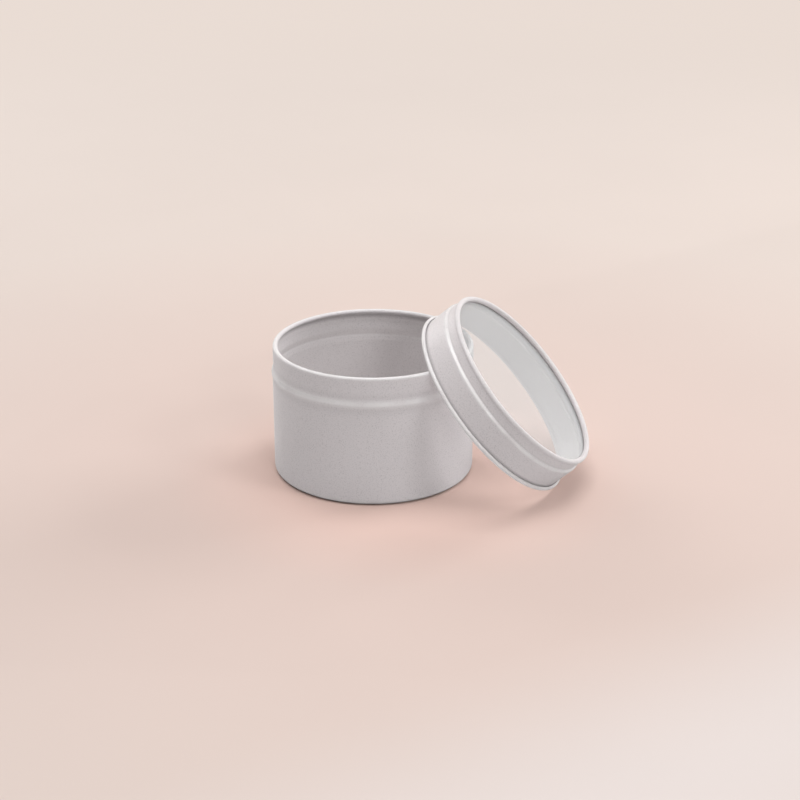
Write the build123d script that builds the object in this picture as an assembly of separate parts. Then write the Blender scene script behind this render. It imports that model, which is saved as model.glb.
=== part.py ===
from build123d import *
import math
import os

"""Round slip-lid tin with a clear window in its lid, in millimetres.

The tin stands open on its base, centred on the Z axis with its base at Z = 0.
Its lid is off and leans towards +X: the curl round the lid's open end stands on
the same floor and rests on the tin's rolled rim, with a hair's gap at each.
"""

# Tin body
body_diameter = 80.0
tin_height = 53.0
tin_sheet = 0.28
base_corner_radius = 2.4

# Stiffening ring pressed up into the tin's base, set in from the wall
base_ring_inset = 6.5
base_ring_width = 3.2
base_ring_height = 0.6
base_ring_slope = 0.9
base_ring_bend_radius = 0.6

# Bead round the tin, on which the closed lid stops, the shallow groove over it and the neck
neck_inset = 0.2
bead_drop = 11.4
bead_proud = 0.5
bead_rise = 2.7
bead_fall = 2.4
groove_depth = 0.2
groove_rise = 2.6
bead_crest_bend_radius = 1.8
bead_foot_bend_radius = 3.0

# Roll of the tin's rim, turned inwards
rim_roll_diameter = 2.0
rim_roll_edge_gap = 0.3

# Lid ring: a skirt that slips over the tin's neck, a shoulder and a neck of its own
lid_sheet = 0.28
lid_clearance = 0.1
lid_neck_height = 3.4
skirt_height = 11.4
shoulder_rise = 0.8
shoulder_inset = 0.8
shoulder_lower_bend_radius = 0.7
shoulder_upper_bend_radius = 0.5

# Curl round the lid's open end, turned outwards
curl_diameter = 1.6
curl_edge_gap = 0.35

# Roll round the window, turned inwards
window_roll_diameter = 2.1
window_roll_proud = 0.25
window_roll_blend_radius = 0.6
window_roll_edge_gap = 0.15

# Clear window, a disc with a short edge turned down that springs into the ring's neck
window_sheet = 0.3
window_edge_height = 1.2
window_bend_radius = 0.5
window_clearance = 0.03

# Lid as it leans on the tin
lean_angle = 48.3
lean_gap = 0.15
floor_gap = 0.15

# Shares and counts
fillet_limit_share = 0.48
circle_steps = 360
halvings = 50

# Sizes that follow
body_radius = body_diameter / 2
neck_radius = body_radius - neck_inset
bead_height = tin_height - bead_drop
rim_roll_radius = rim_roll_diameter / 2
rim_circle_radius = neck_radius - rim_roll_radius
rim_circle_height = tin_height - rim_roll_radius

skirt_bore_radius = neck_radius + lid_clearance
curl_radius = curl_diameter / 2
curl_circle_radius = skirt_bore_radius + curl_radius
lid_neck_bore_radius = skirt_bore_radius - shoulder_inset
lid_neck_radius = lid_neck_bore_radius + lid_sheet
window_roll_radius = window_roll_diameter / 2
window_roll_circle_radius = lid_neck_radius + window_roll_proud - window_roll_radius

flare_reach = window_roll_radius + window_roll_blend_radius
flare_angle = math.degrees(math.acos((flare_reach - window_roll_proud) / flare_reach))
flare_height = skirt_height + shoulder_rise + lid_neck_height
window_roll_circle_height = flare_height + flare_reach * math.sin(math.radians(flare_angle))

window_radius = lid_neck_bore_radius - window_clearance
window_top = window_roll_circle_height - window_roll_radius - window_clearance


def run(start, end):
    """Straight run of a bent sheet's section, between two (radius, height) points."""
    return ("run", start, end)


def bend(centre, radius, start_angle, sweep):
    """Bend of a bent sheet's section. A positive sweep turns to the left."""
    return ("bend", centre, radius, start_angle, sweep)


def polar(centre, radius, angle):
    """Point at an angle in degrees on a circle."""
    turn = math.radians(angle)
    return (centre[0] + radius * math.cos(turn), centre[1] + radius * math.sin(turn))


def rounded_runs(points, radii):
    """Straight runs through points, with a tangent bend at each inner point."""
    pieces = []
    last = points[0]
    for before, corner, after, radius in zip(points, points[1:], points[2:], radii):
        come = math.atan2(corner[1] - before[1], corner[0] - before[0])
        go = math.atan2(after[1] - corner[1], after[0] - corner[0])
        turn = (go - come + math.pi) % (2 * math.pi) - math.pi
        shorter = min(math.dist(before, corner), math.dist(corner, after))
        tangent = min(radius * math.tan(abs(turn) / 2), fillet_limit_share * shorter)
        used_radius = tangent / math.tan(abs(turn) / 2)
        enter = (corner[0] - tangent * math.cos(come), corner[1] - tangent * math.sin(come))
        side = math.copysign(1, turn)
        centre = (
            enter[0] - side * used_radius * math.sin(come),
            enter[1] + side * used_radius * math.cos(come),
        )
        pieces.append(run(last, enter))
        pieces.append(bend(centre, used_radius, math.degrees(come) - side * 90, math.degrees(turn)))
        last = polar(centre, used_radius, math.degrees(go) - side * 90)
    pieces.append(run(last, points[-1]))
    return pieces


def offset_piece(piece, distance):
    """The same run or bend, moved sideways to its left by a distance."""
    if piece[0] == "run":
        start, end = piece[1:]
        length = math.dist(start, end)
        shift = (-(end[1] - start[1]) * distance / length, (end[0] - start[0]) * distance / length)
        return run(
            (start[0] + shift[0], start[1] + shift[1]), (end[0] + shift[0], end[1] + shift[1])
        )
    centre, radius, start_angle, sweep = piece[1:]
    return bend(centre, radius - distance * math.copysign(1, sweep), start_angle, sweep)


def piece_ends(piece):
    """First and last point of a run or bend."""
    if piece[0] == "run":
        return piece[1], piece[2]
    centre, radius, start_angle, sweep = piece[1:]
    return polar(centre, radius, start_angle), polar(centre, radius, start_angle + sweep)


def piece_edge(piece):
    """Edge of a run or bend."""
    if piece[0] == "run":
        return Line(piece[1], piece[2]).edge()
    centre, radius, start_angle, sweep = piece[1:]
    return CenterArc(centre, radius, start_angle, sweep).edge()


def spun_sheet(pieces, thickness):
    """Solid of revolution of a bent sheet.

    The pieces trace one surface of the sheet in (radius, height). The sheet lies to the left
    of that line where the thickness is positive, and to its right where it is negative.
    """
    offsets = [offset_piece(piece, thickness) for piece in pieces]
    first_cut = Line(piece_ends(pieces[0])[0], piece_ends(offsets[0])[0]).edge()
    last_cut = Line(piece_ends(pieces[-1])[1], piece_ends(offsets[-1])[1]).edge()
    edges = [piece_edge(piece) for piece in pieces + offsets] + [first_cut, last_cut]
    section = Plane.XZ * Face(Wire(edges))
    return revolve(section, axis=Axis.Z)


def roll_end_angle(roll_radius, room):
    """Angle at which a roll turned inwards comes back as near to its own wall as room says.

    Room is the distance from the roll's centre circle to the sheet that its raw edge faces,
    less the gap that is left there.
    """
    return 360 - math.degrees(math.acos(room / roll_radius))


def tin_body():
    """Drawn tin: flat base with a pressed ring, straight wall, bead, groove, neck and rolled rim."""
    ring_inner = body_radius - base_ring_inset - base_ring_width / 2
    ring_outer = ring_inner + base_ring_width
    outline = [
        (0, 0),
        (ring_inner, 0),
        (ring_inner + base_ring_slope, base_ring_height),
        (ring_outer - base_ring_slope, base_ring_height),
        (ring_outer, 0),
        (body_radius, 0),
        (body_radius, bead_height - bead_fall),
        (body_radius + bead_proud, bead_height),
        (neck_radius - groove_depth, bead_height + bead_rise),
        (neck_radius, bead_height + bead_rise + groove_rise),
        (neck_radius, rim_circle_height),
    ]
    radii = [base_ring_bend_radius] * 4
    radii += [base_corner_radius]
    radii += [bead_foot_bend_radius, bead_crest_bend_radius] + [bead_foot_bend_radius] * 2
    room = rim_roll_radius - tin_sheet - rim_roll_edge_gap
    roll = bend(
        (rim_circle_radius, rim_circle_height), rim_roll_radius, 0, roll_end_angle(rim_roll_radius, room)
    )
    return spun_sheet(rounded_runs(outline, radii) + [roll], tin_sheet)


def lid_ring():
    """Lid's ring in its own frame, with its open end at Z = 0 and its window roll above."""
    curl_room = lid_sheet + curl_edge_gap - curl_radius
    curl_start = math.degrees(math.acos(curl_room / curl_radius))
    curl = bend((curl_circle_radius, curl_radius), curl_radius, curl_start, -180 - curl_start)

    outline = [
        (skirt_bore_radius, curl_radius),
        (skirt_bore_radius, skirt_height),
        (lid_neck_bore_radius, skirt_height + shoulder_rise),
        (lid_neck_bore_radius, flare_height),
    ]
    flare = bend(
        (lid_neck_radius + window_roll_blend_radius, flare_height),
        window_roll_blend_radius + lid_sheet,
        180,
        -flare_angle,
    )
    room = window_roll_radius - window_roll_proud - lid_sheet - window_roll_edge_gap
    roll = bend(
        (window_roll_circle_radius, window_roll_circle_height),
        window_roll_radius - lid_sheet,
        -flare_angle,
        flare_angle + roll_end_angle(window_roll_radius, room),
    )
    walls = rounded_runs(outline, [shoulder_lower_bend_radius, shoulder_upper_bend_radius])
    return spun_sheet([curl] + walls + [flare, roll], -lid_sheet)


def lid_window():
    """Clear window in the lid's own frame, under the window roll."""
    outline = [
        (0, window_top),
        (window_radius, window_top),
        (window_radius, window_top - window_edge_height),
    ]
    return spun_sheet(rounded_runs(outline, [window_bend_radius]), -window_sheet)


def lid_height_on_floor():
    """Height of the open end's centre when the leaning lid's curl stands on the floor."""
    lean = math.radians(lean_angle)
    return floor_gap + curl_circle_radius * math.sin(lean) + curl_radius * (1 - math.cos(lean))


def curl_to_rim(distance):
    """Least gap between the lid's curl and the tin's rim, with the open end's centre at X = distance."""
    lean = math.radians(lean_angle)
    centre_x = distance + curl_radius * math.sin(lean)
    centre_z = lid_height_on_floor() + curl_radius * math.cos(lean)

    def separation(angle):
        along = curl_circle_radius * math.cos(angle)
        x = centre_x - along * math.cos(lean)
        y = curl_circle_radius * math.sin(angle)
        z = centre_z + along * math.sin(lean)
        return math.hypot(math.hypot(x, y) - rim_circle_radius, z - rim_circle_height)

    angles = [math.pi * step / circle_steps for step in range(circle_steps + 1)]
    nearest = min(angles, key=separation)
    low, high = nearest - math.pi / circle_steps, nearest + math.pi / circle_steps
    for _ in range(halvings):
        third = (high - low) / 3
        if separation(low + third) < separation(high - third):
            high -= third
        else:
            low += third
    return separation((low + high) / 2) - curl_radius - rim_roll_radius


def lean_distance():
    """Distance from the tin's axis at which the lid, slid up from outside, meets the tin's rim."""
    far = body_radius + curl_circle_radius
    near = far
    while curl_to_rim(near) > lean_gap:
        far = near
        near -= rim_roll_radius
    for _ in range(halvings):
        middle = (near + far) / 2
        if curl_to_rim(middle) > lean_gap:
            far = middle
        else:
            near = middle
    return far


def main():
    """Build each piece in its place and write it."""
    leaning = Location((lean_distance(), 0, lid_height_on_floor()), (0, lean_angle, 0))
    pieces = {
        "tin_body": tin_body(),
        "lid_ring": leaning * lid_ring(),
        "lid_window": leaning * lid_window(),
    }
    os.makedirs("parts", exist_ok=True)
    for name, piece in pieces.items():
        export_step(piece, f"parts/{name}.step")


main()
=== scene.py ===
import logging
import math
from dataclasses import dataclass, field
from enum import Enum
from typing import Iterable

import bpy
import numpy as np
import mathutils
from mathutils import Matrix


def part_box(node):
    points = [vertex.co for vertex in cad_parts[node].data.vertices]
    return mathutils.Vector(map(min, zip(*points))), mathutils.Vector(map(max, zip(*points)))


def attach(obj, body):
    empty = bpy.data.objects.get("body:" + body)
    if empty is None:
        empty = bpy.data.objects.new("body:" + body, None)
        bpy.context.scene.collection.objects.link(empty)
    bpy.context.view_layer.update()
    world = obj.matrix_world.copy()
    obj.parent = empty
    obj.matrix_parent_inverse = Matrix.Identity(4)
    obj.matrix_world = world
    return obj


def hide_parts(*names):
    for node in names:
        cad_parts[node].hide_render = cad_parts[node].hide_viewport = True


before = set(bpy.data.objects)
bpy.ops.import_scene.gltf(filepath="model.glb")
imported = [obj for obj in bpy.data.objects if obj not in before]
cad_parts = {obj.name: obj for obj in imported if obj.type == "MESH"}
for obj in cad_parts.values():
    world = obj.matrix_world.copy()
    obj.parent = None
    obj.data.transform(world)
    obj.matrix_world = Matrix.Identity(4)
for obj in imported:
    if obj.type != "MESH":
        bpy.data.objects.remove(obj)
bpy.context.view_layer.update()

# Looks of a round slip-lid tin and its leaning window lid, in metres, in the frame of the solids.
# Every sheet-metal piece is a bent-sheet section, traced as runs and bends and spun about its axis.

Span = tuple[float, float]
Point = tuple[float, float]
Vector = tuple[float, float, float]
Colour = tuple[float, float, float]
Socket = bpy.types.NodeSocket

MM = 0.001
FULL_TURN = 2.0 * math.pi
UNIT: Span = (0.0, 1.0)
# On the paint, the wear layer drives roughness and a lighter colour, a painted highlight.
WEAR_LAYER = "wear"
# Painted shade layer: darkens the paint in creases and under rolls, and draws a painted shadow line
# on the window.
PAINTED_SHADE_LAYER = "crevice"
INSIDE_LAYER = "inside"

log = logging.getLogger("window_lid_tin")


class SheetSide(Enum):
    """Side of a traced section line on which the sheet's thickness lies."""

    LEFT = 1.0
    RIGHT = -1.0


class Body(Enum):
    """Moving bodies of the frame that the pieces ride on."""

    TIN = "tin"
    LID = "lid"


@dataclass
class Skin:
    """Outline of a sheet's section with what the finish needs to know at each of its points.

    Near is 1 on the traced surface and 0 on the other one.
    """

    line: np.ndarray
    wear: np.ndarray
    near: np.ndarray

    def patch(self, spot: Point, reach: float, most: float = 1.0) -> np.ndarray:
        """A value that fades with the distance d from a spot: most exp(-(d / reach)^2).

        Args:
            spot: Middle of the patch, as (radius, height).
            reach: Distance at which it has faded.
            most: The value at the middle.

        Returns:
            A value for each point.
        """
        gaps = np.linalg.norm(self.line - np.array(spot), axis=-1)
        return most * np.exp(-((gaps / reach) ** 2))


def polar(centre: Point, radius: float, angle: float) -> Point:
    """Point on a circle.

    Args:
        centre: The circle's centre, as (radius, height).
        radius: The circle's radius.
        angle: The point's angle in degrees.

    Returns:
        The point, as (radius, height).
    """
    turn = math.radians(angle)
    return centre[0] + radius * math.cos(turn), centre[1] + radius * math.sin(turn)


def roll_end_angle(radius: float, room: float) -> float:
    """Angle in degrees at which a roll turned inwards comes back to within its room.

    It is 360 - acos(room / radius).

    Args:
        radius: The roll's radius.
        room: Distance from the roll's centre circle to its raw edge.

    Returns:
        The angle.
    """
    return 360.0 - math.degrees(math.acos(room / radius))


@dataclass
class SheetSection:
    """Section of a bent sheet in (radius, height), traced along one of its two surfaces.

    Points lie on the traced surface, normals point to the left of the line, and wear says how
    much each point is an edge that hands and other tins rub. The paint shows it as gloss and as
    a lighter colour, a painted highlight.
    """

    thickness: float
    side: SheetSide
    run_step: float = 1.1 * MM
    longest_run: int = 16
    bend_step: float = 9.0
    fewest_bends: int = 3
    edge_steps: int = 5
    points: list[np.ndarray] = field(default_factory=list)
    normals: list[np.ndarray] = field(default_factory=list)
    wear: list[np.ndarray] = field(default_factory=list)

    def run(self, start: Point, end: Point, wear: float = 0.0) -> None:
        """Adds a straight run: start + t (end - start), with t = (1 - cos u) / 2, u from 0 to pi.

        Its points lie closer together towards its ends.

        Args:
            start: First point.
            end: Last point.
            wear: Wear along the run, 0 to 1.
        """
        first, last = np.array(start), np.array(end)
        length = float(np.linalg.norm(last - first))
        steps = min(self.longest_run, max(1, math.ceil(length / self.run_step)))
        share = (1.0 - np.cos(np.linspace(0.0, math.pi, steps + 1)[:, None])) / 2.0
        along = (last - first) / length
        self.points.append(first + share * (last - first))
        self.normals.append(np.tile([-along[1], along[0]], (steps + 1, 1)))
        self.wear.append(np.full(steps + 1, wear))

    def bend(
        self, centre: Point, radius: float, start_angle: float, sweep: float, wear: float = 0.0
    ) -> None:
        """Adds an arc: centre + radius (cos a, sin a), with a from the start angle over the sweep.

        Args:
            centre: The arc's centre.
            radius: The arc's radius on the traced surface.
            start_angle: First angle in degrees.
            sweep: Degrees turned, positive to the left.
            wear: Wear along the bend, 0 to 1.
        """
        steps = max(self.fewest_bends, math.ceil(abs(sweep) / self.bend_step))
        angle = np.radians(start_angle + np.linspace(0.0, sweep, steps + 1))
        outward = np.column_stack([np.cos(angle), np.sin(angle)])
        self.points.append(np.array(centre) + radius * outward)
        self.normals.append(-math.copysign(1.0, sweep) * outward)
        self.wear.append(np.full(steps + 1, wear))

    def rounded_runs(self, corners: list[Point], radii: list[float], wear: list[float]) -> None:
        """Adds straight runs through corners with a tangent bend at each inner corner.

        A bend of radius r that turns by angle a starts r tan(a / 2) before its corner.

        Args:
            corners: The runs' corners.
            radii: A radius for each inner corner.
            wear: Wear of each inner corner's bend, 0 to 1.
        """
        last = corners[0]
        corner_sets = zip(corners, corners[1:], corners[2:], radii, wear)
        for before, corner, after, radius, rub in corner_sets:
            come = math.atan2(corner[1] - before[1], corner[0] - before[0])
            go = math.atan2(after[1] - corner[1], after[0] - corner[0])
            turn = (go - come + math.pi) % FULL_TURN - math.pi
            side = math.copysign(1.0, turn)
            tangent = radius * math.tan(abs(turn) / 2.0)
            enter = corner[0] - tangent * math.cos(come), corner[1] - tangent * math.sin(come)
            across = -side * radius * math.sin(come), side * radius * math.cos(come)
            centre = enter[0] + across[0], enter[1] + across[1]
            self.run(last, enter)
            self.bend(centre, radius, math.degrees(come) - side * 90.0, math.degrees(turn), rub)
            last = polar(centre, radius, math.degrees(go) - side * 90.0)
        self.run(last, corners[-1])

    def traced(self) -> tuple[np.ndarray, np.ndarray, np.ndarray]:
        """The traced surface, with no point twice.

        Returns:
            Its points, left normals and wear.
        """
        points = np.vstack([part[:-1] for part in self.points] + [self.points[-1][-1:]])
        normals = np.vstack([part[:-1] for part in self.normals] + [self.normals[-1][-1:]])
        wear = np.concatenate([part[:-1] for part in self.wear] + [self.wear[-1][-1:]])
        return points, normals, wear

    def outline(self) -> Skin:
        """Outline of the sheet's whole thickness, turning to the left.

        The far surface is the traced one moved by the thickness along its normals. A raw edge
        is half a circle between the two, m + (t / 2) (n cos a + d sin a), and a line that
        starts on the axis is left open there, for a pole.

        Returns:
            The outline with its wear and sides.
        """
        near, normals, wear = self.traced()
        toward = normals * self.side.value
        far = near + toward * self.thickness
        half = np.linspace(0.0, math.pi, self.edge_steps + 2)[1:-1, None]

        def raw_edge(index: int, ahead: float) -> np.ndarray:
            """Half circle round the sheet's end, from its near to its far surface.

            Args:
                index: Index of the end's point.
                ahead: 1 where the sheet ends along the line, -1 where it starts.

            Returns:
                The half circle's inner points.
            """
            middle = (near[index] + far[index]) / 2.0
            along = np.array([normals[index][1], -normals[index][0]]) * ahead
            outward = along * np.sin(half) - toward[index] * np.cos(half)
            return middle + self.thickness / 2.0 * outward

        edge_wear = np.ones(self.edge_steps)
        points = [near, raw_edge(-1, 1.0), far[::-1]]
        wears = [wear, edge_wear, wear[::-1]]
        if near[0][0] > 0.0:
            points.append(raw_edge(0, -1.0)[::-1])
            wears.append(edge_wear)
        line, rub = np.vstack(points), np.concatenate(wears)
        on_near = np.zeros(len(line))
        on_near[: len(near)] = 1.0
        if self.side is SheetSide.RIGHT:
            line, rub, on_near = line[::-1], rub[::-1], on_near[::-1]
        return Skin(line, rub, on_near)


@dataclass(frozen=True)
class Soften:
    """Slight, smooth unevenness of a drawn sheet: a few broad waves round its wall."""

    oval: float = 0.03 * MM
    trefoil: float = 0.02 * MM
    ripple: float = 0.012 * MM
    phase: float = 0.7

    def offsets(self, angle: np.ndarray, height: np.ndarray, span: float) -> np.ndarray:
        """Radial offsets.

        The offset is oval cos(2 a + p) + trefoil cos(3 a - p) + ripple cos(7 a + 4 pi h / H).

        Args:
            angle: Angles round the axis.
            height: Heights along the axis.
            span: The piece's height.

        Returns:
            An offset for each angle and height.
        """
        lean = 4.0 * math.pi * height / span
        return (
            self.oval * np.cos(2.0 * angle + self.phase)
            + self.trefoil * np.cos(3.0 * angle - self.phase)
            + self.ripple * np.cos(7.0 * angle + lean)
        )


@dataclass
class SpunMesh:
    """Surface of revolution of an outline about the Z axis, computed as whole arrays."""

    outline: np.ndarray
    layers: dict[str, np.ndarray]
    segments: int
    soften: Soften | None = None

    def grid(self) -> np.ndarray:
        """Vertices of the rings, as an array of (segment, ring, 3).

        A vertex is ((r + d) cos a, (r + d) sin a, z), for outline point (r, z) and angle a,
        with d the softening times (r / R)^2, where R is the widest radius.

        Returns:
            The vertices.
        """
        angle = np.arange(self.segments)[:, None] * FULL_TURN / self.segments
        radius = self.outline[:, 0][None, :] * np.ones_like(angle)
        height = self.outline[:, 1][None, :] * np.ones_like(angle)
        if self.soften is not None:
            span = float(np.ptp(self.outline[:, 1]))
            fade = np.clip(radius / radius.max(), 0.0, 1.0) ** 2
            radius = radius + fade * self.soften.offsets(angle, height, span)
        return np.stack([radius * np.cos(angle), radius * np.sin(angle), height], axis=-1)

    def build(self) -> tuple[np.ndarray, list[list[int]], dict[str, np.ndarray]]:
        """The surface, closed into a ring or by a pole at each end on the axis.

        Returns:
            Its vertices, faces and layers.
        """
        vertices = self.grid()
        on_axis = self.outline[0][0] <= 0.0
        inner = slice(1, -1) if on_axis else slice(None)
        poles = vertices[0, [0, -1]]
        vertices = vertices[:, inner]
        layers = {key: np.tile(values[inner], self.segments) for key, values in self.layers.items()}
        rings = vertices.shape[1]
        segment = np.arange(self.segments)
        after = (segment + 1) % self.segments
        ring = np.arange(rings - 1 if on_axis else rings)
        beyond = (ring + 1) % rings
        corners = [
            segment[:, None] * rings + ring[None, :],
            after[:, None] * rings + ring[None, :],
            after[:, None] * rings + beyond[None, :],
            segment[:, None] * rings + beyond[None, :],
        ]
        faces = np.stack(corners, axis=-1).reshape(-1, 4).tolist()
        flat = vertices.reshape(-1, 3)
        if on_axis:
            first, last = len(flat), len(flat) + 1
            start, start_after = segment * rings, after * rings
            top = np.column_stack([np.full_like(segment, first), start_after, start])
            end, end_after = start + rings - 1, start_after + rings - 1
            low = np.column_stack([end, end_after, np.full_like(segment, last)])
            faces += top.tolist() + low.tolist()
            flat = np.vstack([flat, poles])
            for key, values in self.layers.items():
                layers[key] = np.append(layers[key], values[[0, -1]])
        return flat, faces, layers


@dataclass(frozen=True)
class Placement:
    """Place of the lid: turned about Y by the lean and moved so that its open end is at a point."""

    lean: float
    centre_x: float
    centre_z: float

    def apply(self, vertices: np.ndarray) -> np.ndarray:
        """Vertices turned and moved: x' = x cos a + z sin a + X and z' = z cos a - x sin a + Z.

        Args:
            vertices: Vertices in the lid's own frame.

        Returns:
            Vertices in the frame of the solids.
        """
        turn = math.radians(self.lean)
        x, y, z = vertices.T
        return np.column_stack([
            x * math.cos(turn) + z * math.sin(turn) + self.centre_x,
            y,
            z * math.cos(turn) - x * math.sin(turn) + self.centre_z,
        ])


def make_piece(
    name: str,
    vertices: np.ndarray,
    faces: list[list[int]],
    layers: dict[str, np.ndarray],
    material: bpy.types.Material,
) -> bpy.types.Object:
    """Smooth-shaded object at the origin, with its layers as point attributes.

    Args:
        name: The piece's name.
        vertices: Vertices in the frame of the solids.
        faces: Vertex indices of each face.
        layers: A value for each vertex, for each named layer.
        material: The piece's material.

    Returns:
        The new object.
    """
    mesh = bpy.data.meshes.new(name)
    mesh.from_pydata(vertices.tolist(), [], faces)
    mesh.polygons.foreach_set("use_smooth", np.ones(len(mesh.polygons), dtype=bool))
    for label, values in layers.items():
        layer = mesh.attributes.new(label, "FLOAT", "POINT")
        layer.data.foreach_set("value", values.astype(np.float32))
    mesh.materials.append(material)
    mesh.update()
    piece = bpy.data.objects.new(name, mesh)
    bpy.context.scene.collection.objects.link(piece)
    log.info("%s: %d vertices, %d faces", name, len(mesh.vertices), len(mesh.polygons))
    return piece


@dataclass
class NodeBench:
    """Short hand for adding nodes to one node tree and joining them."""

    tree: bpy.types.NodeTree

    def add(self, kind: str, **values: object) -> bpy.types.Node:
        """Adds a node.

        Args:
            kind: The node's type name.
            values: Properties to set on it.

        Returns:
            The new node.
        """
        node = self.tree.nodes.new(kind)
        for key, value in values.items():
            setattr(node, key, value)
        return node

    def join(self, source: Socket, target: Socket) -> None:
        """Links one socket to another."""
        self.tree.links.new(source, target)

    def feed(self, target: Socket, value: float | Vector | Socket) -> None:
        """Links a socket to a target, or sets the target to a number or a colour.

        Args:
            target: The socket that is fed.
            value: What feeds it.
        """
        if isinstance(value, Socket):
            self.join(value, target)
        elif isinstance(value, tuple):
            target.default_value = (*value, 1.0)
        else:
            target.default_value = value

    def layer(self, name: str) -> Socket:
        """Value of one of the piece's layers."""
        return self.add("ShaderNodeAttribute", attribute_name=name).outputs["Fac"]

    def noise(self, vector: Socket, scale: float | Socket, detail: float) -> Socket:
        """Value of a noise texture.

        Args:
            vector: Where the noise is read.
            scale: Lumps per metre, as a number or a socket.
            detail: Octaves.

        Returns:
            The noise's value socket.
        """
        node = self.add("ShaderNodeTexNoise")
        for key, value in (("Vector", vector), ("Scale", scale), ("Detail", detail)):
            self.feed(node.inputs[key], value)
        return node.outputs[0]

    def math(self, operation: str, *terms: float | Socket) -> Socket:
        """Value of a math node.

        Args:
            operation: The node's operation.
            terms: Numbers or sockets, in order.

        Returns:
            The result's socket.
        """
        node = self.add("ShaderNodeMath", operation=operation)
        for slot, term in zip(node.inputs, terms):
            self.feed(slot, term)
        return node.outputs[0]

    def spread(self, value: Socket, given: Span, wanted: Span = UNIT) -> Socket:
        """A value mapped smoothly from one range to another.

        Args:
            value: The value to map.
            given: The range that it is mapped from.
            wanted: The range that it is mapped to.

        Returns:
            The result's socket.
        """
        node = self.add("ShaderNodeMapRange", interpolation_type="SMOOTHSTEP")
        self.join(value, node.inputs["Value"])
        for key, number in zip(("From Min", "From Max", "To Min", "To Max"), given + wanted):
            node.inputs[key].default_value = number
        return node.outputs["Result"]

    def mixed(
        self, way: str, share: float | Socket, first: Colour | Socket, second: Colour | Socket
    ) -> Socket:
        """Two colours mixed.

        Args:
            way: The way that they are mixed.
            share: How much of the second colour there is.
            first: The first colour.
            second: The second colour.

        Returns:
            The colour's socket.
        """
        node = self.add("ShaderNodeMix", data_type="RGBA", blend_type=way)
        for key, value in (("Factor", share), ("A", first), ("B", second)):
            self.feed(node.inputs[key], value)
        return node.outputs["Result"]

    def tint(self, share: Socket, first: Colour | Socket, second: Colour) -> Socket:
        """The first colour, with a share of the second one."""
        return self.mixed("MIX", share, first, second)

    def toned(self, colour: Socket, tone: Socket) -> Socket:
        """A colour multiplied by a grey tone, which is 1 for no change."""
        return self.mixed("MULTIPLY", 1.0, colour, tone)

    def bump(self, height: Socket, distance: float, shader: bpy.types.Node) -> None:
        """Adds a bump that feeds a shader's normal.

        Args:
            height: The bump's height, 0 to 1.
            distance: What a height of 1 stands for, in metres.
            shader: The shader.
        """
        node = self.add("ShaderNodeBump")
        self.feed(node.inputs["Distance"], distance)
        self.join(height, node.inputs["Height"])
        self.join(node.outputs["Normal"], shader.inputs["Normal"])

    def over(
        self, share: Socket, first: bpy.types.Node, second: bpy.types.Node, output: str
    ) -> None:
        """Feeds an output's surface with two shaders.

        Args:
            share: How much of the second shader there is.
            first: The first shader.
            second: The second shader.
            output: Name of the output node.
        """
        mix = self.add("ShaderNodeMixShader")
        for slot, source in zip(mix.inputs, (share, first.outputs[0], second.outputs[0])):
            self.join(source, slot)
        self.join(mix.outputs[0], self.tree.nodes[output].inputs["Surface"])


def new_group(name: str, numbers: dict[str, float], outputs: Iterable[str]) -> NodeBench:
    """A shader node group that takes a vector and numbers, and gives numbers.

    Args:
        name: The group's name.
        numbers: Name and default of each number that it takes.
        outputs: Name of each number that it gives.

    Returns:
        A bench on the group's tree, which holds its input and output nodes.
    """
    tree = bpy.data.node_groups.new(name, "ShaderNodeTree")
    tree.interface.new_socket("Vector", in_out="INPUT", socket_type="NodeSocketVector")
    for label, default in numbers.items():
        socket = tree.interface.new_socket(label, in_out="INPUT", socket_type="NodeSocketFloat")
        socket.default_value = default
    for label in outputs:
        tree.interface.new_socket(label, in_out="OUTPUT", socket_type="NodeSocketFloat")
    bench = NodeBench(tree)
    bench.add("NodeGroupInput", name="In")
    bench.add("NodeGroupOutput", name="Out")
    return bench


def paint_grain_group() -> bpy.types.NodeTree:
    """Group for satin paint: fine grain, a slower orange peel, and broad clouds of tone.

    Returns:
        The group.
    """
    scales = {"Grains Per Metre": 2600.0, "Peel Per Metre": 420.0, "Clouds Per Metre": 22.0}
    details = {"Grain": 2.0, "Peel": 1.0, "Cloud": 3.0}
    bench = new_group("PaintGrain", scales, details)
    given = bench.tree.nodes["In"].outputs
    for scale, (output, detail) in zip(scales, details.items()):
        noise = bench.noise(given["Vector"], given[scale], detail)
        bench.join(noise, bench.tree.nodes["Out"].inputs[output])
    return bench.tree


def edge_rub_and_highlight_group(patch_noise: Span = (0.3, 0.55), left: float = 0.35) -> bpy.types.NodeTree:
    """Group for edges that handling rubs, which the paint shows lighter as a painted highlight:
    wear broken up by patchy noise into a mask.

    Args:
        patch_noise: Noise values between which a patch fades in.
        left: Share of the wear that is left between patches.

    Returns:
        The group.
    """
    bench = new_group("EdgeRubAndHighlight", {"Wear": 0.0, "Patches Per Metre": 160.0}, ["Mask"])
    given = bench.tree.nodes["In"].outputs
    noise = bench.noise(given["Vector"], given["Patches Per Metre"], detail=4.0)
    patches = bench.spread(noise, patch_noise, (left, 1.0))
    rubbed_and_highlit = bench.math("MULTIPLY", given["Wear"], patches)
    bench.join(rubbed_and_highlit, bench.tree.nodes["Out"].inputs["Mask"])
    return bench.tree


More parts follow.
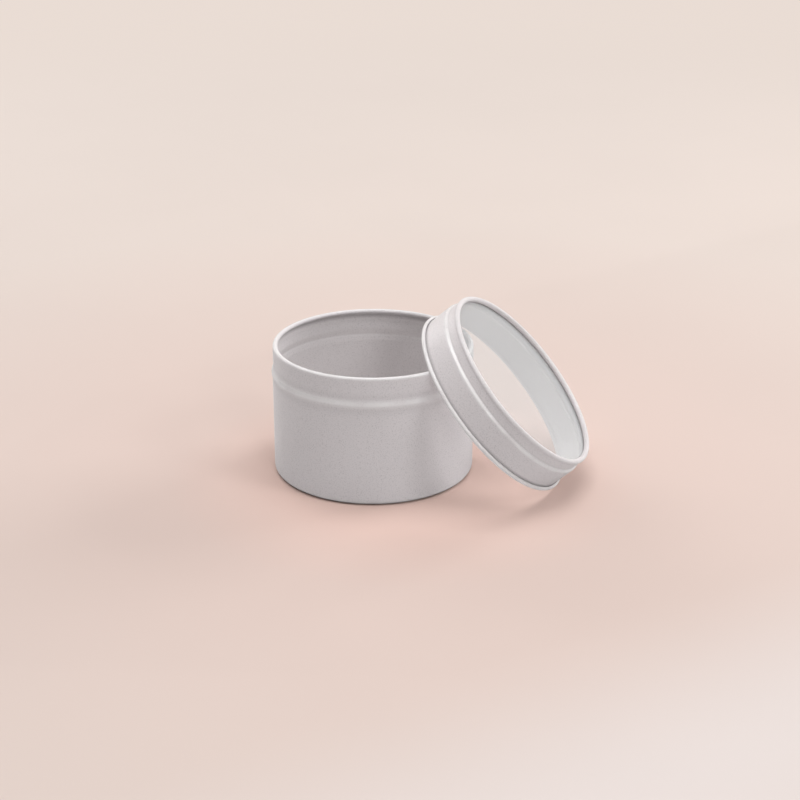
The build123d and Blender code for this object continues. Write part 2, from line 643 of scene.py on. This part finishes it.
def dust_group(
    facing_up: Span = (-0.1, 0.9), speck_noise: Span = (0.74, 0.8)
) -> bpy.types.NodeTree:
    """Group for settled dust: sparse specks, more of them where a surface faces up.

    Args:
        facing_up: Upward parts of the normal between which dust settles more and more.
        speck_noise: Noise values between which a speck fades in.

    Returns:
        The group.
    """
    bench = new_group("SettledDust", {"Specks Per Metre": 900.0}, ["Mask"])
    given = bench.tree.nodes["In"].outputs
    upward = bench.add("ShaderNodeSeparateXYZ")
    bench.join(bench.add("ShaderNodeNewGeometry").outputs["Normal"], upward.inputs[0])
    facing = bench.spread(upward.outputs["Z"], facing_up)
    noise = bench.noise(given["Vector"], given["Specks Per Metre"], detail=1.0)
    settled = bench.math("MULTIPLY", facing, bench.spread(noise, speck_noise))
    bench.join(settled, bench.tree.nodes["Out"].inputs["Mask"])
    return bench.tree


@dataclass
class Effects:
    """Shader node groups that the finishes share, each built once."""

    grain: bpy.types.NodeTree = field(default_factory=paint_grain_group)
    rub: bpy.types.NodeTree = field(default_factory=edge_rub_and_highlight_group)
    dust: bpy.types.NodeTree = field(default_factory=dust_group)

    def place(
        self, bench: NodeBench, group: bpy.types.NodeTree, vector: Socket, **values: float
    ) -> bpy.types.Node:
        """Places a group in a material.

        Args:
            bench: The material's bench.
            group: The group.
            vector: Where its patterns are read.
            values: Input values, with underscores for the spaces in their names.

        Returns:
            The group's node.
        """
        node = bench.add("ShaderNodeGroup", node_tree=group)
        bench.join(vector, node.inputs["Vector"])
        for key, value in values.items():
            node.inputs[key.replace("_", " ")].default_value = value
        return node


def new_material(name: str) -> tuple[bpy.types.Material, NodeBench, bpy.types.Node]:
    """An empty material with a Principled shader.

    Args:
        name: The material's name.

    Returns:
        The material, a bench on its tree and its shader.
    """
    material = bpy.data.materials.new(name)
    material.use_nodes = True
    bench = NodeBench(material.node_tree)
    return material, bench, material.node_tree.nodes["Principled BSDF"]


@dataclass(frozen=True)
class SatinPaint:
    """Satin off-white paint baked on steel.

    It has fine grain and faint clouds, and rubbing makes its edges glossy. It is painted lighter
    at edges, crests and slopes as painted highlights, a little warmer and darker inside as painted
    shade, and painted dark in creases, under rolls and at the base's edge as painted shade.
    """

    name: str
    colour: Colour = (0.80, 0.757, 0.768)
    # Inside is painted a little darker: painted shade.
    inside_shaded_colour: Colour = (0.785, 0.75, 0.752)
    # Lighter colour for rubbing and painted highlights on edges, crests and slopes.
    rubbed_highlight_colour: Colour = (0.9, 0.885, 0.885)
    rubbed_highlight_share: float = 0.8
    dust_colour: Colour = (0.72, 0.69, 0.66)
    # Painted shade colour for creases, under rolls and at the base's edge.
    painted_shade_colour: Colour = (0.07, 0.065, 0.07)
    cloud_noise: Span = (0.4, 0.62)
    cloud_tone: float = 0.97
    speck_noise: Span = (0.5, 0.72)
    speck_tone: float = 0.8
    dust_share: float = 0.25
    roughness: float = 0.42
    gloss_noise: Span = (0.35, 0.65)
    glossier: float = 0.03
    rougher: float = 0.04
    dust_roughness: float = 0.3
    rubbed_gloss: float = 0.16
    coat: float = 0.4
    coat_roughness: float = 0.25
    grain_bump: float = 0.02 * MM
    peel_bump: float = 0.03 * MM

    def make(self, effects: Effects) -> bpy.types.Material:
        """Builds the material.

        Args:
            effects: The shared node groups.

        Returns:
            The material.
        """
        material, bench, shader = new_material(self.name)
        where = bench.add("ShaderNodeTexCoord").outputs["Object"]
        grain = effects.place(bench, effects.grain, where)
        rub = effects.place(bench, effects.rub, where)
        dust = effects.place(bench, effects.dust, where)
        wear = bench.layer(WEAR_LAYER)
        bench.join(wear, rub.inputs["Wear"])

        cloud = bench.spread(grain.outputs["Cloud"], self.cloud_noise, (1.0, self.cloud_tone))
        specks = bench.spread(grain.outputs["Grain"], self.speck_noise, (1.0, self.speck_tone))
        rubbed_and_highlit = bench.math("MULTIPLY", rub.outputs["Mask"], self.rubbed_highlight_share)
        dusty = bench.math("MULTIPLY", dust.outputs["Mask"], self.dust_share)
        # Inside surfaces get the darker inside colour: painted shade.
        colour = bench.tint(bench.layer(INSIDE_LAYER), self.colour, self.inside_shaded_colour)
        colour = bench.toned(colour, bench.math("MULTIPLY", cloud, specks))
        # Painted highlight: worn edges and highlight patches are painted lighter.
        colour = bench.tint(rubbed_and_highlit, colour, self.rubbed_highlight_colour)
        colour = bench.tint(dusty, colour, self.dust_colour)
        # Painted shade: the shade layer darkens creases and places under rolls.
        colour = bench.tint(bench.layer(PAINTED_SHADE_LAYER), colour, self.painted_shade_colour)
        bench.join(colour, shader.inputs["Base Color"])

        gloss = self.roughness - self.glossier, self.roughness + self.rougher
        rough = bench.spread(grain.outputs["Cloud"], self.gloss_noise, gloss)
        rough = bench.math("SUBTRACT", rough, bench.math("MULTIPLY", wear, self.rubbed_gloss))
        dull = bench.math("MULTIPLY", dust.outputs["Mask"], self.dust_roughness)
        bench.join(bench.math("ADD", rough, dull), shader.inputs["Roughness"])
        bench.feed(shader.inputs["Coat Weight"], self.coat)
        bench.feed(shader.inputs["Coat Roughness"], self.coat_roughness)

        height = bench.math(
            "ADD",
            bench.math("MULTIPLY", grain.outputs["Grain"], self.grain_bump / MM),
            bench.math("MULTIPLY", grain.outputs["Peel"], self.peel_bump / MM),
        )
        bench.bump(height, MM, shader)
        return material


@dataclass(frozen=True)
class ClearSheet:
    """Clear plastic sheet.

    It is nearly invisible face on and milky at a slant, with faint haze and dust, and a dark
    painted shadow line where it is seated under the roll. Light on its way to other pieces loses
    little in it.
    """

    name: str
    colour: Colour = (0.62, 0.65, 0.66)
    # Colour of the painted shadow line where the sheet is seated under the roll.
    seat_shadow_colour: Colour = (0.26, 0.26, 0.27)
    dust_colour: Colour = (0.8, 0.78, 0.76)
    haze: float = 0.03
    edge_haze: float = 0.12
    slant_haze: float = 0.9
    slant_power: float = 3.0
    dust_haze: float = 0.06
    clouds_per_metre: float = 30.0
    cloud_noise: Span = (0.4, 0.65)
    cloud_haze: float = 0.008
    indirect_share: float = 0.25
    roughness: float = 0.06
    rougher: float = 0.05
    gloss_noise: Span = (0.35, 0.65)
    ior: float = 1.57
    peel_bump: float = 0.02 * MM

    def make(self, effects: Effects) -> bpy.types.Material:
        """Builds the material.

        Args:
            effects: The shared node groups.

        Returns:
            The material.
        """
        material, bench, shader = new_material(self.name)
        where = bench.add("ShaderNodeTexCoord").outputs["Object"]
        grain = effects.place(bench, effects.grain, where, Clouds_Per_Metre=self.clouds_per_metre)
        dust = effects.place(bench, effects.dust, where)
        # The painted shade layer holds the painted shadow line, which is opaque and dark.
        seat_shadow = bench.layer(PAINTED_SHADE_LAYER)
        facing = bench.add("ShaderNodeLayerWeight").outputs["Facing"]
        slant = bench.math("POWER", facing, self.slant_power)

        seen = bench.math("MULTIPLY_ADD", slant, self.slant_haze, self.haze)
        seen = bench.math("MULTIPLY_ADD", bench.layer(WEAR_LAYER), self.edge_haze, seen)
        seen = bench.math("MULTIPLY_ADD", dust.outputs["Mask"], self.dust_haze, seen)
        cloud = bench.spread(grain.outputs["Cloud"], self.cloud_noise, (0.0, self.cloud_haze))
        seen = bench.math("ADD", seen, cloud)
        path = bench.add("ShaderNodeLightPath")
        indirect = bench.math("SUBTRACT", 1.0, path.outputs["Is Camera Ray"])
        kept = bench.math("MULTIPLY_ADD", indirect, self.indirect_share - 1.0, 1.0)
        seen = bench.math("MULTIPLY", seen, kept)
        bench.join(bench.math("MAXIMUM", seen, seat_shadow), shader.inputs["Alpha"])
        colour = bench.tint(dust.outputs["Mask"], self.colour, self.dust_colour)
        bench.join(bench.tint(seat_shadow, colour, self.seat_shadow_colour), shader.inputs["Base Color"])
        gloss = self.roughness, self.roughness + self.rougher
        rough = bench.spread(grain.outputs["Cloud"], self.gloss_noise, gloss)
        bench.join(rough, shader.inputs["Roughness"])
        bench.feed(shader.inputs["IOR"], self.ior)
        bench.bump(grain.outputs["Peel"], self.peel_bump, shader)
        return material


@dataclass(frozen=True)
class BackdropPaper:
    """Matt paper that the tin stands on, slightly mottled.

    It is painted pinker and darker close to the tin, a painted shade that fades with distance,
    and painted paler at the right front, a painted pool of light. Far off it is seen as the
    backdrop's colour. Light that it throws back at the tin is less pink than it looks.
    """

    name: str = "backdrop_paper"
    # Paper colour by distance from the tin: the near stops are painted shade, pinker and darker.
    paper_and_shade_stops: tuple[tuple[float, Colour], ...] = (
        (0.05, (0.742, 0.545, 0.482)),
        (0.095, (0.71, 0.563, 0.508)),
        (0.34, (0.716, 0.621, 0.569)),
        (0.75, (0.733, 0.648, 0.599)),
    )
    centre: Vector = (0.015, -0.01, 0.0)
    # Painted pool of light: paler towards the right front.
    lit_corner_colour: Colour = (0.76, 0.68, 0.65)
    lit_corner_way: Vector = (0.71, -0.71, 0.0)
    lit_corner_reach: Span = (0.15, 0.25)
    bounced_colour: Colour = (0.665, 0.635, 0.625)
    far_colour: Colour = (0.82, 0.72, 0.66)
    far_reach: Span = (0.35, 0.95)
    clouds_per_metre: float = 6.0
    cloud_noise: Span = (0.35, 0.65)
    mottle: float = 0.985
    fibres_per_metre: float = 1500.0
    fibre_bump: float = 0.02 * MM
    roughness: float = 0.9
    specular: float = 0.2

    def make(self) -> bpy.types.Material:
        """Builds the material.

        Returns:
            The material.
        """
        material, bench, shader = new_material(self.name)
        where = bench.add("ShaderNodeTexCoord").outputs["Object"]
        cloud = bench.noise(where, self.clouds_per_metre, detail=2.0)
        fibre = bench.noise(where, self.fibres_per_metre, detail=3.0)
        away = bench.add("ShaderNodeVectorMath", operation="DISTANCE")
        bench.join(where, away.inputs[0])
        away.inputs[1].default_value = self.centre
        # Painted shade near the tin, fading into the paper's colour with distance.
        ramp = bench.add("ShaderNodeValToRGB")
        bench.join(away.outputs["Value"], ramp.inputs["Fac"])
        for extra in self.paper_and_shade_stops[2:]:
            ramp.color_ramp.elements.new(extra[0])
        for mark, (reach, tone) in zip(ramp.color_ramp.elements, self.paper_and_shade_stops):
            mark.position, mark.color = reach, (*tone, 1.0)
        # Painted pool of light towards the right front.
        along = bench.add("ShaderNodeVectorMath", operation="DOT_PRODUCT")
        bench.join(where, along.inputs[0])
        along.inputs[1].default_value = self.lit_corner_way
        corner = bench.spread(along.outputs["Value"], self.lit_corner_reach)
        colour = bench.tint(corner, ramp.outputs["Color"], self.lit_corner_colour)
        colour = bench.toned(colour, bench.spread(cloud, self.cloud_noise, (1.0, self.mottle)))
        path = bench.add("ShaderNodeLightPath")
        indirect = bench.math("SUBTRACT", 1.0, path.outputs["Is Camera Ray"])
        colour = bench.tint(indirect, colour, self.bounced_colour)
        bench.join(colour, shader.inputs["Base Color"])
        bench.feed(shader.inputs["Roughness"], self.roughness)
        bench.feed(shader.inputs["Specular IOR Level"], self.specular)
        bench.bump(fibre, self.fibre_bump, shader)
        far = bench.spread(away.outputs["Value"], self.far_reach)
        glow = bench.add("ShaderNodeEmission")
        bench.feed(glow.inputs["Color"], self.far_colour)
        seen = bench.math("MULTIPLY", far, path.outputs["Is Camera Ray"])
        bench.over(seen, shader, glow, "Material Output")
        return material


@dataclass
class TinBody:
    """Drawn tin: base with a pressed ring, straight wall, bead, groove, neck and rolled rim."""

    body_radius: float = 40.0 * MM
    height: float = 53.0 * MM
    sheet: float = 0.28 * MM
    corner_radius: float = 2.4 * MM
    ring_inset: float = 6.5 * MM
    ring_width: float = 3.2 * MM
    ring_height: float = 0.6 * MM
    ring_slope: float = 0.9 * MM
    ring_bend: float = 0.6 * MM
    neck_inset: float = 0.2 * MM
    bead_drop: float = 11.4 * MM
    bead_proud: float = 0.5 * MM
    bead_rise: float = 2.7 * MM
    bead_fall: float = 2.4 * MM
    groove_depth: float = 0.2 * MM
    groove_rise: float = 2.6 * MM
    crest_bend: float = 1.8 * MM
    foot_bend: float = 3.0 * MM
    roll_radius: float = 1.0 * MM
    roll_edge_gap: float = 0.3 * MM
    # Painted shade under the rim inside, at the rim's lip, at the base's edge and by the bead.
    rim_shade_drop: float = 2.15 * MM
    rim_shade_reach: float = 0.6 * MM
    lip_shade: float = 0.35
    lip_shade_drop: float = 1.6 * MM
    lip_shade_reach: float = 0.7 * MM
    base_shade_inset: float = 1.6 * MM
    base_shade_reach: float = 0.85 * MM
    bead_shade: float = 0.07
    bead_shade_reach: float = 1.4 * MM
    # Rubbing at bends, which the paint shows as gloss and as a lighter colour, a painted highlight.
    bend_wear_and_highlight: float = 0.1
    corner_wear_and_highlight: float = 0.5
    crest_wear_and_highlight: float = 0.4
    rim_wear_and_highlight: float = 0.3
    # Painted highlights: patches painted lighter on top of the rim and on the bead's upper side.
    rim_highlight_inset: float = 0.6 * MM
    rim_highlight_reach: float = 0.8 * MM
    bead_highlight_rise: float = 1.0 * MM
    bead_highlight_reach: float = 1.2 * MM
    segments: int = 320

    @property
    def neck_radius(self) -> float:
        """Outside radius of the neck above the bead."""
        return self.body_radius - self.neck_inset

    @property
    def bead_height(self) -> float:
        """Height of the bead's crest."""
        return self.height - self.bead_drop

    @property
    def bead_foot(self) -> Point:
        """Where the bead rises from the wall."""
        return self.body_radius, self.bead_height - self.bead_fall

    @property
    def groove_foot(self) -> Point:
        """Bottom of the shallow groove over the bead."""
        return self.neck_radius - self.groove_depth, self.bead_height + self.bead_rise

    def section(self) -> SheetSection:
        """The tin's section, traced on its outside from the base's centre to the rim's raw edge.

        Returns:
            The section.
        """
        ring_inner = self.body_radius - self.ring_inset - self.ring_width / 2.0
        ring_outer = ring_inner + self.ring_width
        roll_height = self.height - self.roll_radius
        section = SheetSection(self.sheet, SheetSide.LEFT)
        section.rounded_runs(
            [
                (0.0, 0.0),
                (ring_inner, 0.0),
                (ring_inner + self.ring_slope, self.ring_height),
                (ring_outer - self.ring_slope, self.ring_height),
                (ring_outer, 0.0),
                (self.body_radius, 0.0),
                self.bead_foot,
                (self.body_radius + self.bead_proud, self.bead_height),
                self.groove_foot,
                (self.neck_radius, self.bead_height + self.bead_rise + self.groove_rise),
                (self.neck_radius, roll_height),
            ],
            [self.ring_bend] * 4
            + [self.corner_radius, self.foot_bend, self.crest_bend]
            + [self.foot_bend] * 2,
            [self.bend_wear_and_highlight] * 4
            + [self.corner_wear_and_highlight, self.bend_wear_and_highlight, self.crest_wear_and_highlight]
            + [self.bend_wear_and_highlight] * 2,
        )
        room = self.roll_radius - self.sheet - self.roll_edge_gap
        sweep = roll_end_angle(self.roll_radius, room)
        roll_centre = self.neck_radius - self.roll_radius, roll_height
        section.bend(roll_centre, self.roll_radius, 0.0, sweep, self.rim_wear_and_highlight)
        return section

    def rubbed_and_highlit(self, skin: Skin) -> np.ndarray:
        """Wear of the skin, with painted highlights added on top of the rim and on the bead's upper
        side.

        Args:
            skin: The tin's outline.

        Returns:
            Wear at its points, 0 to 1.
        """
        rim_top = self.neck_radius - self.rim_highlight_inset, self.height
        bead_top = self.body_radius + self.bead_proud, self.bead_height + self.bead_highlight_rise
        rim = skin.patch(rim_top, self.rim_highlight_reach)
        bead = skin.patch(bead_top, self.bead_highlight_reach)
        return np.maximum(skin.wear, np.maximum(rim, bead * skin.near))

    def painted_shades(self, skin: Skin) -> np.ndarray:
        """Painted shade under the rim inside, at the base's edge, by the bead and at the rim's lip.

        Args:
            skin: The tin's outline.

        Returns:
            Darkness at its points, 0 to 1.
        """
        under_rim = self.neck_radius - self.sheet, self.height - self.rim_shade_drop
        base_edge = self.body_radius - self.base_shade_inset, 0.0
        lip_edge = self.neck_radius - 2.0 * self.roll_radius, self.height - self.lip_shade_drop
        outside = np.maximum.reduce([
            skin.patch(base_edge, self.base_shade_reach),
            skin.patch(lip_edge, self.lip_shade_reach, self.lip_shade),
            skin.patch(self.bead_foot, self.bead_shade_reach, self.bead_shade),
            skin.patch(self.groove_foot, self.bead_shade_reach, self.bead_shade),
        ])
        inside = skin.patch(under_rim, self.rim_shade_reach)
        return np.where(skin.near > 0.0, outside, inside)

    def build(self, finish: bpy.types.Material) -> bpy.types.Object:
        """Builds the tin's piece and puts it in the frame.

        Args:
            finish: The tin's paint.

        Returns:
            The piece.
        """
        skin = self.section().outline()
        layers = {
            WEAR_LAYER: self.rubbed_and_highlit(skin),
            PAINTED_SHADE_LAYER: self.painted_shades(skin),
            INSIDE_LAYER: 1.0 - skin.near,
        }
        mesh = SpunMesh(skin.line, layers, self.segments, Soften())
        piece = make_piece("tin_shell", *mesh.build(), finish)
        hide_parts("tin_body")
        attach(piece, Body.TIN.value)
        return piece


@dataclass
class WindowLid:
    """Slip lid: a ring with a curled open end, a shoulder and a roll, round a clear window."""

    skirt_bore: float = 39.9 * MM
    sheet: float = 0.28 * MM
    skirt_height: float = 11.4 * MM
    shoulder_rise: float = 0.8 * MM
    shoulder_inset: float = 0.8 * MM
    shoulder_low_bend: float = 0.7 * MM
    shoulder_top_bend: float = 0.5 * MM
    neck_height: float = 3.4 * MM
    curl_radius: float = 0.8 * MM
    curl_edge_gap: float = 0.35 * MM
    roll_radius: float = 1.05 * MM
    roll_proud: float = 0.25 * MM
    roll_blend: float = 0.6 * MM
    roll_edge_gap: float = 0.15 * MM
    film: float = 0.3 * MM
    film_edge: float = 1.2 * MM
    film_bend: float = 0.5 * MM
    film_clearance: float = 0.03 * MM
    film_seat: float = 0.32 * MM
    # Width and blur of the painted shadow line where the window is seated.
    seat_shadow_width: float = 0.45 * MM
    seat_shadow_blur: float = 0.08 * MM
    # Painted shade at the curl, at the shoulder's foot and on the roll.
    curl_shade_rise: float = 1.5 * MM
    curl_shade_reach: float = 0.26 * MM
    # Rubbing at bends, shown as gloss and as a lighter colour, a painted highlight, and a painted
    # highlight along the shoulder.
    curl_wear_and_highlight: float = 0.8
    shoulder_low_wear_and_highlight: float = 1.0
    shoulder_top_wear_and_highlight: float = 0.6
    shoulder_highlight_reach: float = 0.7 * MM
    shoulder_shade: float = 0.12
    shoulder_shade_reach: float = 0.4 * MM
    roll_wear_and_highlight: float = 0.15
    roll_shade: float = 0.05
    roll_shade_reach: float = 2.4 * MM
    lean: float = 48.3
    wave_phase: float = 2.1
    segments: int = 320

    @property
    def neck_bore(self) -> float:
        """Inside radius of the lid's neck above the shoulder."""
        return self.skirt_bore - self.shoulder_inset

    @property
    def flare(self) -> tuple[float, float]:
        """Flare from the neck into the window roll.

        Returns:
            Its angle in degrees and the height where it starts.
        """
        reach = self.roll_radius + self.roll_blend
        angle = math.degrees(math.acos((reach - self.roll_proud) / reach))
        return angle, self.skirt_height + self.shoulder_rise + self.neck_height

    @property
    def roll_centre(self) -> Point:
        """Centre circle of the window roll.

        Returns:
            Its radius and height.
        """
        angle, height = self.flare
        reach = self.roll_radius + self.roll_blend
        radius = self.neck_bore + self.sheet + self.roll_proud - self.roll_radius
        return radius, height + reach * math.sin(math.radians(angle))

    @property
    def seat_radius(self) -> float:
        """Radius from which the window is seated under its roll."""
        return self.roll_centre[0] - self.film_seat

    def placement(self) -> Placement:
        """Place of the leaning lid, from the solid ring's lowest and leftmost points.

        Returns:
            The place.
        """
        low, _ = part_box("lid_ring")
        turn = math.radians(self.lean)
        circle = self.skirt_bore + self.curl_radius
        left = circle * math.cos(turn) - self.curl_radius * math.sin(turn) + self.curl_radius
        drop = circle * math.sin(turn) - self.curl_radius * math.cos(turn) + self.curl_radius
        return Placement(self.lean, low.x + left, low.z + drop)

    def ring_section(self) -> SheetSection:
        """The ring's section, traced on its inside from the curl's raw edge to the roll's.

        Returns:
            The section.
        """
        section = SheetSection(self.sheet, SheetSide.RIGHT)
        room = self.sheet + self.curl_edge_gap - self.curl_radius
        start = math.degrees(math.acos(room / self.curl_radius))
        curl_centre = self.skirt_bore + self.curl_radius, self.curl_radius
        section.bend(curl_centre, self.curl_radius, start, -180.0 - start, self.curl_wear_and_highlight)
        angle, flare_height = self.flare
        shoulder_top = self.skirt_height + self.shoulder_rise
        section.rounded_runs(
            [
                (self.skirt_bore, self.curl_radius),
                (self.skirt_bore, self.skirt_height),
                (self.neck_bore, shoulder_top),
                (self.neck_bore, flare_height),
            ],
            [self.shoulder_low_bend, self.shoulder_top_bend],
            [self.shoulder_low_wear_and_highlight, self.shoulder_top_wear_and_highlight],
        )
        section.bend(
            (self.neck_bore + self.sheet + self.roll_blend, flare_height),
            self.roll_blend + self.sheet,
            180.0,
            -angle,
        )
        room = self.roll_radius - self.roll_proud - self.sheet - self.roll_edge_gap
        sweep = angle + roll_end_angle(self.roll_radius, room)
        inner_radius = self.roll_radius - self.sheet
        section.bend(self.roll_centre, inner_radius, -angle, sweep, self.roll_wear_and_highlight)
        return section

    def film_section(self) -> SheetSection:
        """The window's section, traced on its outer face from the centre to the turned edge.

        Returns:
            The section.
        """
        top = self.roll_centre[1] - self.roll_radius - self.film_clearance
        radius = self.neck_bore - self.film_clearance
        before = self.seat_radius - self.seat_shadow_blur, top
        after = self.seat_radius + self.seat_shadow_blur, top
        section = SheetSection(self.film, SheetSide.RIGHT)
        section.run((0.0, top), before)
        section.run(before, after)
        section.rounded_runs(
            [after, (radius, top), (radius, top - self.film_edge)], [self.film_bend], [1.0]
        )
        return section

    def ring_layers(self, skin: Skin) -> dict[str, np.ndarray]:
        """Wear with a painted highlight along the shoulder, painted shade at the curl, shoulder and
        roll, and the bore, which is the inside.

        Args:
            skin: The ring's outline.

        Returns:
            The layers.
        """
        spot = self.skirt_bore + self.sheet, self.curl_shade_rise
        bore = skin.near * (skin.line[:, 0] <= self.skirt_bore)
        # Middle of the painted highlight along the shoulder.
        edge = self.skirt_bore + self.sheet / 2.0, self.skirt_height + self.shoulder_rise / 2.0
        foot = self.neck_bore + self.sheet, self.skirt_height + self.shoulder_rise + self.sheet
        return {
            WEAR_LAYER: np.maximum(skin.wear, skin.patch(edge, self.shoulder_highlight_reach)),
            PAINTED_SHADE_LAYER: np.maximum.reduce([
                skin.patch(spot, self.curl_shade_reach),
                skin.patch(foot, self.shoulder_shade_reach, self.shoulder_shade),
                skin.patch(self.roll_centre, self.roll_shade_reach, self.roll_shade),
            ]),
            INSIDE_LAYER: bore,
        }

    def film_layers(self, skin: Skin) -> dict[str, np.ndarray]:
        """Haze of the window's turned edge, and a dark painted shadow line, a thin ring from the
        radius where it is seated.

        Args:
            skin: The window's outline.

        Returns:
            The layers.
        """
        past_seat = skin.line[:, 0] - self.seat_radius
        within = np.clip(past_seat / self.seat_shadow_blur + 0.5, 0.0, 1.0)
        beyond = np.clip((past_seat - self.seat_shadow_width) / self.seat_shadow_blur + 0.5, 0.0, 1.0)
        return {WEAR_LAYER: skin.wear, PAINTED_SHADE_LAYER: within - beyond}

    def piece(
        self,
        name: str,
        skin: Skin,
        layers: dict[str, np.ndarray],
        node: str,
        slot: str,
        finish: bpy.types.Material,
    ) -> bpy.types.Object:
        """Spins a skin, leans it and puts it in the frame.

        Args:
            name: The piece's name.
            skin: Its outline in the lid's own frame.
            layers: Values at the outline's points.
            node: The solid that it stands for.
            slot: Its material slot, not used.
            finish: Its material.

        Returns:
            The piece.
        """
        mesh = SpunMesh(skin.line, layers, self.segments, Soften(phase=self.wave_phase))
        vertices, faces, spun = mesh.build()
        piece = make_piece(name, self.placement().apply(vertices), faces, spun, finish)
        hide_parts(node)
        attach(piece, Body.LID.value)
        return piece

    def build(self, paint: bpy.types.Material, clear: bpy.types.Material) -> list[bpy.types.Object]:
        """Builds the ring and the window.

        Args:
            paint: The ring's paint.
            clear: The window's clear sheet.

        Returns:
            Both pieces.
        """
        ring, film = self.ring_section().outline(), self.film_section().outline()
        ring_layers, film_layers = self.ring_layers(ring), self.film_layers(film)
        return [
            self.piece("lid_shell", ring, ring_layers, "lid_ring", "lid_paint", paint),
            self.piece("window_sheet", film, film_layers, "lid_window", "window_film", clear),
        ]


@dataclass(frozen=True)
class PhotoCamera:
    """Camera at the photograph's viewing angle, with the photograph's field of view."""

    place: Vector = (154.2 * MM, -688.8 * MM, 317.5 * MM)
    pitch_down: float = 22.3
    azimuth: float = 11.75
    lens: float = 85.5
    sensor: float = 36.0
    clip_start: float = 10.0 * MM

    def build(self) -> bpy.types.Object:
        """Creates the camera and makes it the scene's.

        Returns:
            The camera.
        """
        data = bpy.data.cameras.new("photo_camera")
        data.lens = self.lens
        data.sensor_width = self.sensor
        data.clip_start = self.clip_start
        camera = bpy.data.objects.new("photo_camera", data)
        camera.location = self.place
        tilt = math.radians(90.0 - self.pitch_down)
        camera.rotation_euler = (tilt, 0.0, math.radians(self.azimuth))
        bpy.context.scene.collection.objects.link(camera)
        bpy.context.scene.camera = camera
        return camera


@dataclass(frozen=True)
class SoftLamp:
    """Square soft lamp that points at the tin, and that gloss shows or doesn't show."""

    name: str
    place: Vector
    size: float
    power: float
    mirrored: bool = True
    colour: Colour = (1.0, 1.0, 1.0)
    target: Vector = (0.02, 0.0, 0.03)

    def build(self) -> bpy.types.Object:
        """Creates the lamp.

        Returns:
            The lamp.
        """
        data = bpy.data.lights.new(self.name, "AREA")
        data.size = self.size
        data.energy = self.power
        data.color = self.colour
        lamp = bpy.data.objects.new(self.name, data)
        lamp.location = self.place
        lamp.visible_glossy = self.mirrored
        aim = np.array(self.target) - np.array(self.place)
        flat = math.hypot(aim[0], aim[1])
        lamp.rotation_euler = (math.atan2(flat, -aim[2]), 0.0, math.atan2(-aim[0], aim[1]))
        bpy.context.scene.collection.objects.link(lamp)
        return lamp


@dataclass(frozen=True)
class Studio:
    """Plain pale floor, soft lamps and an even surround."""

    floor_half: float = 3.0
    surround: float = 0.16
    white: Colour = (1.0, 1.0, 1.0)
    backdrop: Colour = BackdropPaper.far_colour
    lamps: tuple[SoftLamp, ...] = (
        SoftLamp("overhead", (0.02, 0.0, 1.5), 1.0, 12.2),
        SoftLamp("back_left", (-0.977, 0.997, 0.543), 0.8, 1.8, mirrored=False),
        SoftLamp("back_left_sheen", (-0.977, 0.997, 0.543), 0.8, 4.9),
        SoftLamp("back_right", (1.017, 0.997, 0.543), 0.8, 11.2, mirrored=False),
        SoftLamp("left", (-0.944, 0.0, 1.179), 0.8, 2.8),
        SoftLamp("right", (1.1, -0.393, 0.994), 0.35, 2.6),
        SoftLamp("right_high", (0.725, -0.257, 1.329), 0.35, 1.2),
        SoftLamp("front", (0.7, -1.177, 0.664), 0.35, 2.6),
    )

    def floor(self) -> bpy.types.Object:
        """Flat floor at the height of the tin's base.

        Returns:
            The floor.
        """
        ways = [(-1.0, -1.0, 0.0), (1.0, -1.0, 0.0), (1.0, 1.0, 0.0), (-1.0, 1.0, 0.0)]
        corners = self.floor_half * np.array(ways)
        floor = make_piece("floor", corners, [[0, 1, 2, 3]], {}, BackdropPaper().make())
        return floor

    def world(self) -> None:
        """Even white surround, which the camera, gloss and clear sheet see as the backdrop."""
        world = bpy.data.worlds.new("surround")
        world.use_nodes = True
        bench = NodeBench(world.node_tree)
        lit = world.node_tree.nodes["Background"]
        bench.feed(lit.inputs["Color"], self.white)
        bench.feed(lit.inputs["Strength"], self.surround)
        seen = bench.add("ShaderNodeBackground")
        bench.feed(seen.inputs["Color"], self.backdrop)
        path = bench.add("ShaderNodeLightPath")
        seen_by = [path.outputs[f"Is {kind} Ray"] for kind in ("Camera", "Transmission", "Glossy")]
        direct = bench.math("MAXIMUM", bench.math("MAXIMUM", *seen_by[:2]), seen_by[2])
        bench.over(direct, lit, seen, "World Output")
        bpy.context.scene.world = world

    def build(self) -> None:
        """Creates the floor, the surround and the lamps."""
        self.floor()
        self.world()
        for lamp in self.lamps:
            lamp.build()
        bpy.context.scene.view_settings.view_transform = "Standard"


def main() -> None:
    """Builds the camera, the studio and each sub-assembly."""
    logging.basicConfig(level=logging.INFO, format="%(name)s: %(message)s")
    PhotoCamera().build()
    Studio().build()
    effects = Effects()
    tin_paint = SatinPaint("tin_satin_paint")
    # The lid's inside is painted darker still: painted shade.
    lid_paint = SatinPaint("lid_satin_paint", inside_shaded_colour=(0.75, 0.72, 0.722))
    clear_sheet = ClearSheet("window_clear_sheet")
    TinBody().build(tin_paint.make(effects))
    WindowLid().build(lid_paint.make(effects), clear_sheet.make(effects))


if __name__ == "__main__":
    main()
